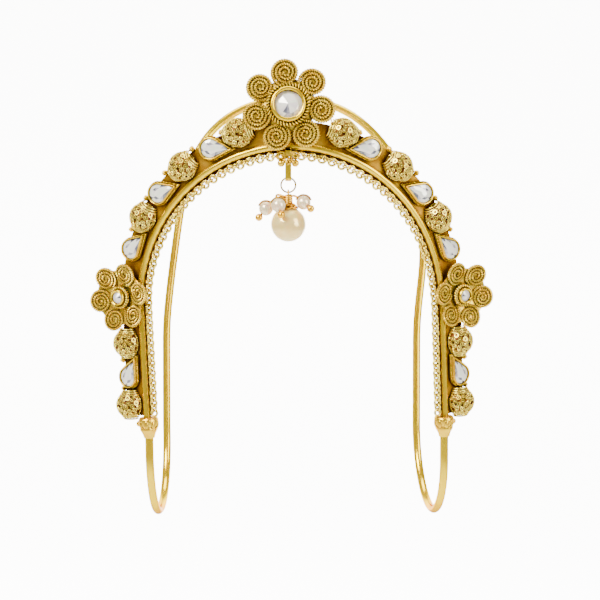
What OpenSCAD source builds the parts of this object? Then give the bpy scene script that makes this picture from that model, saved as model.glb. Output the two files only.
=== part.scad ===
// Upper-arm armlet: a decorated front arch on a spring wire that passes behind the arm,
// with a pearl drop hanging under the top of the arch.
// The arm runs along Z, the front faces -Y, and the origin lies on the arm's axis at the
// height of the arch's shoulders.

/* [Front arch] */
// Width between the centre lines of the rim's two legs
arch_w = 74.8; // [70:0.2:80]
// Height of the arch above its shoulders
arch_rise = 40.4; // [37:0.2:45]
// Length of the straight legs below the shoulders
leg_len = 28; // [26:0.5:32]
// Radius of the arch seen from above
plan_r = 66; // [60:1:80]
// Sideways set of the lower legs, bent by hand
leg_sway = 1.6; // [0:0.1:2]
// Thickness of the polished rim wire
rim_d = 1.9; // [1.6:0.1:2.1]
// Width of the base plate outside the rim's centre line
band_w = 6.1; // [5.8:0.1:6.6]
// Thickness of the base plate
plate_t = 0.8; // [0.6:0.1:1]
// Diameter of the soldered granules
granule_d = 1.5; // [1.2:0.1:1.6]

/* [Back wire] */
// Thickness of the spring wire
wire_d = 2; // [1.6:0.1:2.2]
// Distance from the front legs to the back legs
hairpin_w = 35.4; // [32:0.2:40]
// Straight wire between a cap and the start of the hairpin bend
hairpin_len = 5.2; // [4:0.2:10]
// Width between the centre lines of the back legs
back_w = 68; // [62:0.5:74]
// Height of the back arch above the shoulders
back_rise = 49.8; // [44:0.2:54]
// Backward lean of the back arch in degrees
back_lean = 6; // [0:0.5:9]
// Sideways wave of the back arch, bent by hand
back_sway = 2.2; // [0:0.1:3]

/* [Caps] */
// Largest diameter of the caps on the legs
cap_d = 5; // [4.6:0.1:5.4]
// Length of the caps
cap_len = 5.2; // [4.6:0.1:6]

/* [Pierced domes] */
// Diameter of the pierced domes
dome_d = 6.9; // [6.4:0.1:7.3]
// Wall of the pierced domes
dome_wall = 0.5; // [0.4:0.05:0.7]
// Diameter of the holes in the lowest ring of a dome
dome_hole_d = 1.7; // [1.3:0.1:1.9]

/* [Pear settings] */
// Width of the bezel wall of a pear setting
pear_w = 5.4; // [5:0.1:5.8]
// Length of the bezel wall of a pear setting
pear_len = 8.5; // [8:0.1:9]
// Height of the bezel wall above its flange
pear_h = 1.25; // [1.1:0.05:1.7]
// Thickness of the bezel walls
bezel_wall = 0.35; // [0.3:0.05:0.5]
// Width of the flange around a pear bezel
flange_w = 0.3; // [0.2:0.05:0.4]
// Thickness of the flanges
flange_t = 0.45; // [0.35:0.05:0.6]

/* [Top flower] */
// Diameter of the ring on which the top flower's petals lie
top_ring_d = 16; // [15.8:0.1:17]
// Diameter of a petal of the top flower
top_petal_d = 6.76; // [6:0.02:6.8]
// Outer diameter of the top bezel
top_bezel_d = 8.2; // [7.6:0.1:8.6]
// Thickness of the top bezel's wall
top_bezel_wall = 0.6; // [0.4:0.05:0.8]
// Height of the top bezel above the petals' back plate
top_bezel_h = 3.6; // [3:0.1:4.2]
// Height of the top flower's centre above the rim
top_lift = 9.55; // [9:0.1:10.4]
// Backward tilt of the top flower in degrees
top_tilt = 12; // [8:1:14]

/* [Side flowers] */
// Diameter of the ring on which a side flower's petals lie
side_ring_d = 12.2; // [11.5:0.1:12.6]
// Diameter of a petal of a side flower
side_petal_d = 5.8; // [5.2:0.05:5.9]
// Outer diameter of a side bezel
side_bezel_d = 3.8; // [3.4:0.1:4.2]
// Height of a side bezel above the back plate
side_bezel_h = 2.9; // [2.6:0.1:3.4]
// Upward cupping of the side petals in degrees
side_cup = 14; // [8:1:18]
// Distance of a side flower's centre outside the rim wire
side_set = 4.2; // [4:0.1:4.6]
// Turn of the side flowers off the band, towards the front
side_facing = 8; // [0:1:9]

/* [Chain lace] */
// Outer diameter of a chain link
link_d = 2.1; // [2.05:0.01:2.2]
// Thickness of a link's wire
link_wire = 0.36; // [0.3:0.01:0.38]
// Gap between the rim and the chain
lace_gap = 0.25; // [0.15:0.05:0.4]

/* [Drop] */
// Diameter of the main pearl
pearl_d = 8.5; // [7.8:0.1:8.8]
// Diameter of the small pearls
small_pearl_d = 3.5; // [3:0.1:3.6]
// Outer height of the bail
bail_h = 4.9; // [4.6:0.1:5.4]
// Width of the bail's strip
bail_w = 1.5; // [1.1:0.05:1.6]
// Outer diameter of the jump ring
ring_d = 3.9; // [3.6:0.1:4.4]
// Thickness of the jump ring's wire
ring_wire = 0.42; // [0.36:0.02:0.48]
// Length of the wire wrap above the main pearl
wrap_len = 2.3; // [2.1:0.1:2.8]

/* [Hidden] */
$fn = 32;

// Clearance between a part and what it is soldered to
solder = 0.06;
// Clearance of a wire in a loop or bore
play = 0.1;
gold = "goldenrod";
crystal = "aliceblue";
pearl_colour = "wheat";

// Shares of the arch's half length, from its top at 0 to the leg's foot at 1
dome_share = [0.1218, 0.283, 0.455, 0.793, 0.965];
pear_share = [0.198, 0.379, 0.546, 0.888];
granule_share = [0.16, 0.241, 0.333, 0.414, 0.503, 0.842, 0.921];
flower_share = 0.667;

arch_half = arch_w/2;
rim_r = rim_d/2;
wire_r = wire_d/2;
// Centre of the plan circle on which the front arch lies
plan_y = -hairpin_w/2 + sqrt(plan_r*plan_r - arch_half*arch_half);
front_z = plate_t/2;
// The legs lean sideways from just above the shoulders down to the bottom of the caps
sway_top = 7;
sway_end = leg_len + cap_len;
foot_extra = cap_len + 3;

function unit(v) = v/norm(v);
function ramp(a, b, v) = min(1, max(0, (v - a)/(b - a)));
function ease(t) = t*t*(3 - 2*t);
function leg_set(z) = leg_sway*ramp(sway_top, -sway_end, z);

// Centre line of the rim from the top down one side, as X and Z
function arch_xz(side) = concat(
    [for (a = [0:3:90]) let (z = arch_rise*cos(a)) [side*arch_half*sin(a) + leg_set(z), z]],
    [for (k = [1:8]) let (z = -(leg_len + foot_extra)*k/8) [side*arch_half + leg_set(z), z]]);
// The same line on the unrolled plan cylinder, as distance round it and Z
function unroll(x) = plan_r*asin(x/plan_r)*PI/180;
function arch_uv(side) = [for (p = arch_xz(side)) [unroll(p[0]), p[1]]];
function running(pts) = [for (i = 0, s = 0; i < len(pts); i = i + 1,
    s = i < len(pts) ? s + norm(pts[i] - pts[i - 1]) : s) s];

line_left = arch_uv(-1);
line_right = arch_uv(1);
run_left = running(line_left);
run_right = running(line_right);
function column(keys, pts, c) = [for (i = [0:len(keys) - 1]) [keys[i], pts[i][c]]];
u_left = column(run_left, line_left, 0);
v_left = column(run_left, line_left, 1);
u_right = column(run_right, line_right, 0);
v_right = column(run_right, line_right, 1);
function arc_u(side, s) = lookup(s, side < 0 ? u_left : u_right);
function arc_v(side, s) = lookup(s, side < 0 ? v_left : v_right);
// Length of the rim from the top to the foot of a leg, where the cap begins
function z_column(side) = [for (i = [len(run_left) - 1:-1:0])
    side < 0 ? [line_left[i][1], run_left[i]] : [line_right[i][1], run_right[i]]];
half_len_left = lookup(-leg_len, z_column(-1));
half_len_right = lookup(-leg_len, z_column(1));
function half_len(side) = side < 0 ? half_len_left : half_len_right;

// Direction of the band at a length s, turned so that it runs from left to right
probe = 0.4;
function arc_turn(side, s) = let (
    du = arc_u(side, s + probe) - arc_u(side, max(0, s - probe)),
    dv = arc_v(side, s + probe) - arc_v(side, max(0, s - probe))) atan2(side*dv, side*du);
// A point of the band: off is the distance outside the rim, proud the height off the surface
function round_plan(u, v, proud) = let (a = u/plan_r*180/PI)
    [(plan_r + proud)*sin(a), plan_y - (plan_r + proud)*cos(a), v];
function on_arc(side, s, off, proud) = let (t = arc_turn(side, s))
    round_plan(arc_u(side, s) - off*sin(t), arc_v(side, s) + off*cos(t), proud);

// Places a piece on the band: x runs down the band, y outwards and z off its face
module on_band(side, s, off) {
    turn = arc_turn(side, s);
    u = arc_u(side, s) - off*sin(turn);
    v = arc_v(side, s) + off*cos(turn);
    translate([0, plan_y, 0]) rotate([0, 0, u/plan_r*180/PI]) translate([0, -plan_r, v])
        rotate([90, 0, 0]) rotate([0, 0, turn]) mirror([side < 0 ? 1 : 0, 0, 0]) children();
}

// Skin over rings of points, each ring turning the same way round the path
module skin(rings) {
    n = len(rings[0]);
    m = len(rings);
    polyhedron([for (ring = rings) for (p = ring) p], concat(
        [[for (k = [0:n - 1]) k]],
        [for (i = [0:m - 2]) for (k = [0:n - 1]) let (j = (k + 1) % n)
            for (f = [[i*n + k, (i + 1)*n + k, (i + 1)*n + j], [i*n + k, (i + 1)*n + j, i*n + j]]) f],
        [[for (k = [n - 1:-1:0]) (m - 1)*n + k]]));
}

function path_dir(pts, i) = unit(pts[min(i + 1, len(pts) - 1)] - pts[max(i - 1, 0)]);
function across(e, t) = unit(e - (e*t)*t);
function path_sides(pts, start) = [for (i = 0, e = across(start, path_dir(pts, 0)); i < len(pts);
    i = i + 1, e = i < len(pts) ? across(e, path_dir(pts, i)) : e) e];

// Round wire along a path, with its first corner towards start
module tube(pts, r, sides, start) {
    e = path_sides(pts, start);
    skin([for (i = [0:len(pts) - 1]) let (b = cross(path_dir(pts, i), e[i]))
        [for (k = [0:sides - 1]) pts[i] + r*(cos(360*k/sides)*e[i] + sin(360*k/sides)*b)]]);
}

module torus(major, minor) {
    rotate_extrude($fn = 48) translate([major, 0]) circle(minor, $fn = 24);
}

// Front band: rim wire, base plate, granules and the scroll that carries the bail
arc_step = 2.6;
function arc_stations(side, last) = [for (k = [0:ceil(last/arc_step)]) last*k/ceil(last/arc_step)];
function reverse(list) = [for (i = [len(list) - 1:-1:0]) list[i]];
function whole_band(last_share, section) = concat(
    reverse([for (s = arc_stations(-1, last_share*half_len(-1)))
        [for (q = section) on_arc(-1, s, q[0], q[1])]]),
    [for (s = arc_stations(1, last_share*half_len(1))) if (s > 0)
        [for (q = section) on_arc(1, s, q[0], q[1])]]);

rim_sides = 8;
rim_section = [for (k = [0:rim_sides - 1]) rim_r*[cos(360*k/rim_sides), sin(360*k/rim_sides)]];
plate_in = rim_r/2;
plate_section = [[plate_in, -front_z], [band_w, -front_z], [band_w, front_z], [plate_in, front_z]];
// Granules sit on the plate's outer edge, and sink into it
granule_out = 0.35;
granule_sink = 0.45;
rim_end = 1.02;
plate_end = 0.995;

// The drop hangs at the top of the arch, a little left of the middle
crown_x = -0.5;
apex_y = plan_y - plan_r;
link_r = link_d/2;
lace_off = -(rim_r + lace_gap + link_r);
scroll_t = 0.65;
scroll_y = apex_y - link_r - 2*play - scroll_t/2;
scroll_r = 1.1;
scroll_z = arch_rise + lace_off - link_r + scroll_r;
strap_w = 1.4;
// The strap is soldered under the rim wire, clear of the chain
strap_top = arch_rise - 0.3*rim_r;
strap_low = arch_rise - 1.1*rim_r;
side_scroll = 1.7;
drop_ball_r = 0.9;

module scroll() {
    translate([crown_x, scroll_y, 0]) {
        translate([-strap_w/2, -scroll_t/2, scroll_z])
            cube([strap_w, scroll_t, strap_top - scroll_z]);
        translate([-strap_w/2, -scroll_t/2, strap_low])
            cube([strap_w, apex_y - scroll_y + scroll_t/2, strap_top - strap_low]);
        for (x = [-side_scroll, 0, side_scroll])
            translate([x, 0, scroll_z]) rotate([90, 0, 0])
                cylinder(r = scroll_r, h = scroll_t, center = true);
        for (x = [-side_scroll, side_scroll])
            translate([x, 0, scroll_z - scroll_r - 0.75*drop_ball_r]) sphere(drop_ball_r);
    }
}

module front_band() color(gold) union() {
    skin(whole_band(rim_end, rim_section));
    skin(whole_band(plate_end, plate_section));
    for (side = [-1, 1]) for (share = granule_share)
        on_band(side, share*half_len(side), band_w + granule_d*granule_out)
            translate([0, 0, front_z + granule_d/2 - granule_sink]) sphere(d = granule_d);
    scroll();
}

// Back wire: out of one cap, round a hairpin bend, over behind the arm and back
cap_off = -0.35;
bend_z = -(leg_len + cap_len + hairpin_len);
bend_r = hairpin_w/2;
back_half = back_w/2;
back_n = 2.35;
wave_low = -15;
wave_high = 45;
function wave(z) = back_sway*pow(sin(180*ramp(wave_low, wave_high, z)), 2);
function back_y(x, z) = bend_r + sqrt(plan_r*plan_r - x*x) - sqrt(plan_r*plan_r - back_half*back_half)
    + tan(back_lean)*(z - bend_z);
function back_at(side, x, z, set) = [side*x + set, back_y(x, z), z];
function cap_point(side, x) = on_arc(side, half_len(side) + x, cap_off, 0);
function hairpin(side) = let (
    front = cap_point(side, cap_len + hairpin_len/2),
    back_x = side*back_half,
    mid_y = (front[1] + bend_r)/2,
    swing = (bend_r - front[1])/2) [for (a = [0:12:180]) let (w = ease(a/180))
        [front[0]*(1 - w) + back_x*w + leg_sway*sin(a)/4, mid_y - swing*cos(a), bend_z - bend_r*sin(a)]];
function back_side(side) = concat(
    [for (x = [cap_len/2, cap_len]) cap_point(side, x)],
    hairpin(side),
    [for (k = [1:4]) let (z = bend_z*(1 - k/4)) back_at(side, back_half, z, wave(z))],
    [for (a = [84:-6:6]) let (z = back_rise*pow(cos(a), 2/back_n), x = back_half*pow(sin(a), 2/back_n))
        back_at(side, x, z, wave(z))]);
wire_sides = 8;

module back_wire() color(gold)
    tube(concat(back_side(-1), [back_at(1, 0, back_rise, 0)], reverse(back_side(1))),
        wire_r, wire_sides, [1, 0, 0]);

// Caps: a domed ferrule on each leg, with a socket for the rim and one for the wire
cap_r = cap_d/2;
cap_profile = [[0, 0.9], [0.06, 0.98], [0.3, 1], [0.42, 0.92], [0.46, 0.84], [0.62, 0.86],
    [0.8, 0.66], [1, 0.56]];
module cap(side) color(gold) {
    rim_depth = (rim_end - 1)*half_len(side) + play;
    on_band(side, half_len(side), cap_off) {
        difference() {
            union() {
                rotate([0, 90, 0]) rotate_extrude() polygon(concat([[0, 0]],
                    [for (p = cap_profile) [cap_r*p[1], cap_len*p[0]]], [[0, cap_len]]));
                translate([cap_len*0.35, cap_r + granule_d/3, 0]) sphere(d = granule_d);
            }
            translate([-play, -cap_off, 0]) rotate([0, 90, 0])
                cylinder(r = rim_r + solder, h = rim_depth + 2*play);
            translate([cap_len/2 - play, 0, 0]) rotate([0, 90, 0])
                cylinder(r = wire_r + play, h = cap_len);
        }
    }
}

// Chain lace: round links in turn face on and edge on, along the inside of the rim
link_major = link_r - link_wire/2;
lace_clear = 0.12;
lace_pitch = 2*link_major - link_wire - lace_clear;
function lace_line() = concat(
    reverse([for (s = arc_stations(-1, half_len(-1))) let (t = arc_turn(-1, s))
        [arc_u(-1, s) - lace_off*sin(t), arc_v(-1, s) + lace_off*cos(t)]]),
    [for (s = arc_stations(1, half_len(1))) if (s > 0) let (t = arc_turn(1, s))
        [arc_u(1, s) - lace_off*sin(t), arc_v(1, s) + lace_off*cos(t)]]);
lace_pts = lace_line();
lace_run = running(lace_pts);
lace_len = lace_run[len(lace_run) - 1];
link_count = floor((lace_len - link_d - 4*play)/lace_pitch) + 1;
lace_start = (lace_len - lace_pitch*(link_count - 1))/2;
lace_u = column(lace_run, lace_pts, 0);
lace_v = column(lace_run, lace_pts, 1);
module chain_lace() color(gold)
    for (i = [0:link_count - 1]) {
        s = lace_start + lace_pitch*i;
        u = lookup(s, lace_u);
        v = lookup(s, lace_v);
        turn = atan2(lookup(s + probe, lace_v) - lookup(s - probe, lace_v),
            lookup(s + probe, lace_u) - lookup(s - probe, lace_u));
        translate([0, plan_y, 0]) rotate([0, 0, u/plan_r*180/PI]) translate([0, -plan_r, v])
            rotate([90, 0, 0]) rotate([0, 0, turn]) rotate([i % 2 == 0 ? 0 : 90, 0, 0])
            torus(link_major, link_wire/2);
    }

// Pierced domes: hollow half spheres with holes in two rings round a top hole
rim_gap = 0.15;
dome_off = rim_r + rim_gap + dome_d/2;
first_dome_lift = 0.62;
dome_rings = [[0, 1, 0.75, 0], [37, 5, 0.85, 0], [67, 6, 1, 30]];
module dome(side, k) color(gold)
    on_band(side, dome_share[k]*half_len(side), dome_off + (k == 0 ? first_dome_lift : 0))
        translate([0, 0, front_z + solder]) difference() {
            rotate_extrude() difference() {
                union() {
                    intersection() {
                        translate([0, flange_t]) circle(d = dome_d, $fn = 48);
                        translate([0, flange_t]) square(dome_d);
                    }
                    square([dome_d/2, flange_t]);
                }
                translate([0, flange_t]) circle(d = dome_d - 2*dome_wall, $fn = 48);
            }
            for (ring = dome_rings) for (h = [1:ring[1]])
                translate([0, 0, flange_t]) rotate([0, 0, 360*h/ring[1] + ring[3]]) rotate([0, ring[0], 0])
                    translate([0, 0, dome_d/4]) cylinder(d = dome_hole_d*ring[2], h = dome_d/2, $fn = 24);
        }

// Pear settings: a bezel cup whose straight side runs along the rim, with its point uphill
pear_r = pear_w/2;
pear_half = asin(pear_r/(pear_len - pear_r));
pear_gap = 0.35;
pear_off = rim_r + pear_gap + flange_w + pear_r;
module pear(r) {
    circle(r, $fn = 48);
    polygon([[-r*sin(pear_half), r*cos(pear_half)], [-r/sin(pear_half), 0],
        [-r*sin(pear_half), -r*cos(pear_half)]]);
}
module on_pear(side, k)
    on_band(side, pear_share[k]*half_len(side), pear_off)
        translate([0, 0, front_z + solder]) rotate([0, 0, pear_half]) children();
module pear_setting(side, k) color(gold) on_pear(side, k) {
    linear_extrude(flange_t) pear(pear_r + flange_w);
    translate([0, 0, flange_t/2]) linear_extrude(pear_h + flange_t/2) difference() {
        pear(pear_r);
        pear(pear_r - bezel_wall);
    }
}

// Stones: a faceted crown with a table, and a shallow pavilion
stone_r = pear_r - bezel_wall - play;
stone_base = flange_t + play;
pavilion_h = 0.45;
girdle_h = 0.2;
crown_h = 0.65;
function pear_outline(r, z) = concat([[-r/sin(pear_half), 0, z]],
    [for (k = [0:9]) let (a = -180 + 90 - pear_half + (180 + 2*pear_half)*k/9) [r*cos(a), r*sin(a), z]]);
module pear_stone(side, k) color(crystal) on_pear(side, k) translate([0, 0, stone_base])
    skin([pear_outline(stone_r*0.35, 0), pear_outline(stone_r, pavilion_h),
        pear_outline(stone_r, pavilion_h + girdle_h), pear_outline(stone_r*0.78, pavilion_h + crown_h*0.8),
        pear_outline(stone_r*0.42, pavilion_h + crown_h)]);
module round_stone(r, crown) color(crystal) {
    ring = function (rr, z, shift) [for (k = [0:15]) rr*[cos(22.5*(k + shift)), sin(22.5*(k + shift)), z/rr]];
    skin([ring(r*0.3, 0, 0), ring(r, pavilion_h, 0), ring(r, pavilion_h + girdle_h, 0),
        ring(r*0.62, pavilion_h + crown*0.7, 0), ring(r*0.22, pavilion_h + crown, 0)]);
}

// Flowers: coiled petals on a back plate, round a bezel with a rope ring
petal_wire = 0.96;
side_petal_wire = 0.8;
// Turns in a coiled petal
top_turns = 3.3;
side_turns = 3.1;
disc_t = 0.5;
rope_r = 0.68;
side_rope_r = 0.6;
// A coil grows by half a pitch in each half turn, so its last radius is more than half its width
function coil(outer, wire, turns, step) =
    let (r0 = wire*0.45, r1 = (outer - wire - r0/turns)/(2 - 1/turns), pitch = (r1 - r0)/turns)
    [for (a = [0:step:360*turns]) let (r = r0 + pitch*a/360) [r*cos(a), r*sin(a), 0]];
module petal(outer, wire, turns, step) tube(coil(outer, wire, turns, step), wire/2, 5, [0, 0, 1]);

top_ring_r = top_ring_d/2;
top_petals = 7;
top_disc_r = top_ring_r - top_petal_d/5;
top_stone_r = top_bezel_d/2 - top_bezel_wall - play;
top_crown_h = 1.5;
top_recess = 0.2;
top_set_back = 0.05;
petal_sink = 0.1;
petal_rise = cos(36);
first_petal = 95;
// Round foot that joins the top flower's back plate to the band
boss_r = 1.8;
boss_h = 0.85;
boss_inset = 1.8;
module on_top() {
    translate([crown_x, apex_y - front_z + top_set_back, arch_rise + top_lift])
        rotate([90 - top_tilt, 0, 0]) children();
}
module bezel(d, h, wall) difference() {
    cylinder(d = d, h = h);
    translate([0, 0, disc_t]) cylinder(d = d - 2*wall, h = h);
}
module top_flower() color(gold) union() {
    on_top() {
        cylinder(r = top_disc_r, h = disc_t, $fn = 64);
        bezel(top_bezel_d, top_bezel_h, top_bezel_wall);
        translate([0, 0, disc_t + petal_wire + rope_r]) torus(top_bezel_d/2 + 0.85*rope_r, rope_r);
        for (k = [0:top_petals - 1]) rotate([0, 0, first_petal + 360*k/top_petals])
            translate([top_ring_r, 0, disc_t - petal_sink + petal_wire/2*petal_rise])
                rotate([0, 0, 180 - 360*top_turns]) petal(top_petal_d, petal_wire, top_turns, 24);
    }
    translate([crown_x, apex_y - front_z - solder, arch_rise + band_w - boss_inset]) rotate([90, 0, 0])
        cylinder(r = boss_r, h = boss_h);
}
module top_stone() on_top() translate([0, 0, top_bezel_h - top_recess - pavilion_h - top_crown_h])
    round_stone(top_stone_r, top_crown_h);

side_petals = 6;
side_ring_r = side_ring_d/2;
side_stone_r = side_bezel_d/2 - bezel_wall - play;
side_crown_h = 0.8;
side_recess = 0.1;
side_foot_r = 2.4;
side_off = rim_r + side_set;
side_base = rim_r + rim_gap;
module on_side(side) on_band(side, flower_share*half_len(side), side_off)
    translate([0, 0, side_base]) rotate([side_facing, 0, 0]) children();
module side_flower(side) color(gold) on_side(side) {
    dish_r = side_ring_r + side_petal_d/8;
    hub_r = side_ring_r - side_petal_d/2 - 0.2;
    rotate_extrude() polygon([[0, 0], [hub_r, 0], [dish_r, (dish_r - hub_r)*tan(side_cup)],
        [dish_r, (dish_r - hub_r)*tan(side_cup) + disc_t], [hub_r, disc_t], [0, disc_t]]);
    // The foot stands on the band, so it isn't turned with the flower
    rotate([-side_facing, 0, 0]) translate([0, 0, front_z + solder - side_base])
        cylinder(r = side_foot_r, h = side_base - front_z + disc_t/2);
    bezel(side_bezel_d, side_bezel_h, bezel_wall);
    translate([0, 0, disc_t + 1.7*side_rope_r]) torus(side_bezel_d/2 + 0.8*side_rope_r, side_rope_r);
    for (k = [0:side_petals - 1]) rotate([0, 0, 15 + 360*k/side_petals])
        translate([side_ring_r*cos(side_cup) + hub_r*(1 - cos(side_cup)), 0,
            disc_t - petal_sink + side_petal_wire/2*petal_rise + (side_ring_r - hub_r)*sin(side_cup)])
            rotate([0, -side_cup, 0]) rotate([0, 0, 180 - 360*side_turns])
                petal(side_petal_d, side_petal_wire, side_turns, 30);
}
module side_stone(side) on_side(side)
    translate([0, 0, side_bezel_h - side_recess - pavilion_h - side_crown_h])
        round_stone(side_stone_r, side_crown_h);

// Drop: bail, jump ring, wire wrap and pearls
bail_t = 0.32;
bail_depth = 1.7;
bail_top = scroll_z - scroll_r - solder;
ring_major = (ring_d - ring_wire)/2;
// The ring's wire falls away at the edges of the bail's strip, which it clears there too
ring_fall = ring_major - sqrt(ring_major*ring_major - bail_w*bail_w/4);
ring_top = bail_top - bail_h + bail_t + play + ring_wire/2 + ring_fall;
ring_z = ring_top - ring_major;
ring_low = ring_z - ring_major;
eye_wire = 0.44;
eye_hole = 0.5;
eye_z = ring_low - (eye_hole - ring_wire/2 - play);
eye_low = eye_z - eye_hole - eye_wire;
pearl_r = pearl_d/2;
pearl_z = eye_low - wrap_len - pearl_r;
peg_r = 0.35;
peg_low = pearl_z + pearl_r*0.1;
wrap_r = 0.8;
wrap_turns = 4;
pearl_cap_t = 0.35;
pearl_cap_share = 1.02;
pin_r = 0.28;
pin_ball_r = 0.9;
pin_start = 0.3;

module on_drop(z) translate([crown_x, scroll_y, z]) children();
module bail() color(gold) on_drop(0) rotate([90, 0, 90]) translate([0, 0, -bail_w/2])
    linear_extrude(bail_w) difference() {
        bail_outline(0);
        bail_outline(bail_t);
    }
module bail_outline(inset) {
    r = bail_depth/2 - inset;
    for (z = [bail_top - bail_depth/2, bail_top - bail_h + bail_depth/2]) translate([0, z]) circle(r, $fn = 48);
    translate([-r, bail_top - bail_h + bail_depth/2]) square([2*r, bail_h - bail_depth]);
}
module jump_ring() color(gold) on_drop(ring_z) rotate([90, 0, 0]) torus(ring_major, ring_wire/2);

// Small pearls: direction from the main pearl's centre as turn and rise in degrees, the extra
// clearance as a share of their size, and the direction of the pin through each
small_pearls = [[-127, 51.5, 0.05, [0.25, -0.6, -0.76]], [174, 35, 0.16, [-0.62, 0, -0.78]],
    [-7, 55.2, 0.12, [0.62, -0.62, -0.48]]];
function heading(turn, rise) = [cos(turn)*cos(rise), sin(turn)*cos(rise), sin(rise)];
function small_at(k) = [crown_x, scroll_y, pearl_z] + heading(small_pearls[k][0], small_pearls[k][1])
    *(pearl_r + small_pearl_d*(0.5 + small_pearls[k][2]));
function pin_dir(k) = unit(small_pearls[k][3]);
stem = [crown_x, scroll_y, eye_low - peg_r];
module along(p, d) translate(p) rotate([0, acos(d[2]), atan2(d[1], d[0])]) children();
// A pin leaves the stem, curls over and runs straight through its pearl
function pin_path(k) = let (
    back = small_at(k) - pin_dir(k)*(small_pearl_d/2 + pin_start),
    bend = back - pin_dir(k)*small_pearl_d*0.6,
    tip = small_at(k) + pin_dir(k)*(small_pearl_d/2 + play + pin_ball_r))
    concat([for (t = [0:1/6:1]) stem*(1 - t)*(1 - t) + bend*2*t*(1 - t) + back*t*t], [tip]);
module pearl_wrap() color(gold) union() {
    on_drop(eye_z) rotate([0, 90, 0]) torus(eye_hole + eye_wire/2, eye_wire/2);
    on_drop(peg_low) cylinder(r = peg_r, h = eye_low + eye_wire/2 - peg_low);
    // The wound wire is soldered up solid round the peg
    wrap_step = (wrap_len - 2*play)/wrap_turns;
    for (k = [0:wrap_turns - 1]) on_drop(eye_low - wrap_step*(k + 0.5))
        torus(wrap_r, wrap_len/wrap_turns/2 + solder);
    on_drop(eye_low - wrap_step*wrap_turns) cylinder(r = wrap_r, h = wrap_step*(wrap_turns - 0.5));
    on_drop(pearl_z) rotate_extrude() intersection() {
        difference() {
            circle(pearl_r + pearl_cap_t, $fn = 64);
            circle(pearl_r + play, $fn = 64);
        }
        translate([0, pearl_r*pearl_cap_share]) square([pearl_r, pearl_r]);
    }
    for (k = [0:2]) {
        tube(pin_path(k), pin_r, 6, [0, 0.3, 1]);
        translate(small_at(k) + pin_dir(k)*(small_pearl_d/2 + play + pin_ball_r)) sphere(pin_ball_r);
    }
}
module main_pearl() color(pearl_colour) on_drop(pearl_z) difference() {
    sphere(pearl_r, $fn = 64);
    cylinder(r = peg_r + play, h = pearl_d);
}
module small_pearl(k) color(pearl_colour) along(small_at(k), pin_dir(k)) difference() {
    sphere(d = small_pearl_d, $fn = 48);
    cylinder(r = pin_r + play, h = 2*small_pearl_d, center = true);
}

front_band();
back_wire();
cap(-1);  // cap_left
cap(1);  // cap_right
chain_lace();
top_flower();
top_stone();
side_flower(-1);  // flower_left
side_flower(1);  // flower_right
side_stone(-1);  // flower_stone_left
side_stone(1);  // flower_stone_right
bail();
jump_ring();
pearl_wrap();
main_pearl();
for (k = [1:3]) small_pearl(k - 1);
for (side = [-1, 1]) {
    name = side < 0 ? "left" : "right";
    for (k = [1:5]) dome(side, k - 1);
    for (k = [1:4]) pear_setting(side, k - 1);
    for (k = [1:4]) pear_stone(side, k - 1);
}
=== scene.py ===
import random
from math import acos, asin, atan2, ceil, cos, pi, radians, sin, sqrt, tan

import bmesh
import bpy
import numpy as np
from mathutils import Matrix, Vector


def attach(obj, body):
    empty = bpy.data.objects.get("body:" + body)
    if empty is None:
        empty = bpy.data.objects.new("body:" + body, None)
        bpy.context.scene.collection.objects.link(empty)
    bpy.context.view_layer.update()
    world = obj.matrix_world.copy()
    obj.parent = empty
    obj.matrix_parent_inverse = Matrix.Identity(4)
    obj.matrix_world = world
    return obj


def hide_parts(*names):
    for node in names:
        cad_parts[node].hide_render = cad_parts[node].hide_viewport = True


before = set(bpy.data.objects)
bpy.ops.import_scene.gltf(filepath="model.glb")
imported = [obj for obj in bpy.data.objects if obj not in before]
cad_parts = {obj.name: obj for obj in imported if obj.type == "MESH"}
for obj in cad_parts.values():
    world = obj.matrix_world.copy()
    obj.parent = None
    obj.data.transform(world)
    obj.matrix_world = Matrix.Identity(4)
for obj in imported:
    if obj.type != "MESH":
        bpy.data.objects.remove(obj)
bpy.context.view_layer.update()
random.seed(7)

metresPerMm = 0.001  # all shapes below are made in millimetres and scaled at the end
fullTurn = 2 * pi
goldenAngle = 2.39996
turnReach = 0.4  # a line's direction is taken over this length to each side
ropeStep = 0.13  # length between the points of a thin rope's line
leftRight = {"left": -1, "right": 1}

# The arch lies on an upright cylinder, and lengths run along the rim from the top of the arch
arch = {"width": 74.8, "rise": 40.4, "legLength": 28.0, "planRadius": 66.0, "sway": 1.6,
        "swayTop": 7.0, "rim": 1.9, "bandWidth": 6.1, "plate": 0.8, "hairpin": 35.4,
        "capLength": 5.2, "footExtra": 8.2, "crownX": -0.5, "solder": 0.06, "play": 0.1,
        "degreeStep": 1.5, "legSteps": 8}
rimRadius, plateFront, play = arch["rim"] / 2, arch["plate"] / 2, arch["play"]
plateTop = plateFront + arch["solder"]
planRadius = arch["planRadius"]
planCentre = -arch["hairpin"] / 2 + sqrt(planRadius ** 2 - arch["width"] ** 2 / 4)
apexY = planCentre - planRadius


def clamp01(value):
    return min(1.0, max(0.0, value))


def move(x, y, z):
    return Matrix.Translation((x, y, z))


def stretch(x, y, z):
    return Matrix.Diagonal((x, y, z, 1))


def turnX(angle):
    return Matrix.Rotation(angle, 4, "X")


def turnY(angle):
    return Matrix.Rotation(angle, 4, "Y")


def turnZ(angle):
    return Matrix.Rotation(angle, 4, "Z")


def runAlong(points):  # length of a line up to each of its points
    return np.concatenate([[0], np.cumsum(np.linalg.norm(np.diff(points, axis=0), axis=1))])


def legSet(z):  # the hand-bent legs lean to one side
    top, low = arch["swayTop"], -(arch["legLength"] + arch["capLength"])
    return arch["sway"] * clamp01((z - top) / (low - top))


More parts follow.
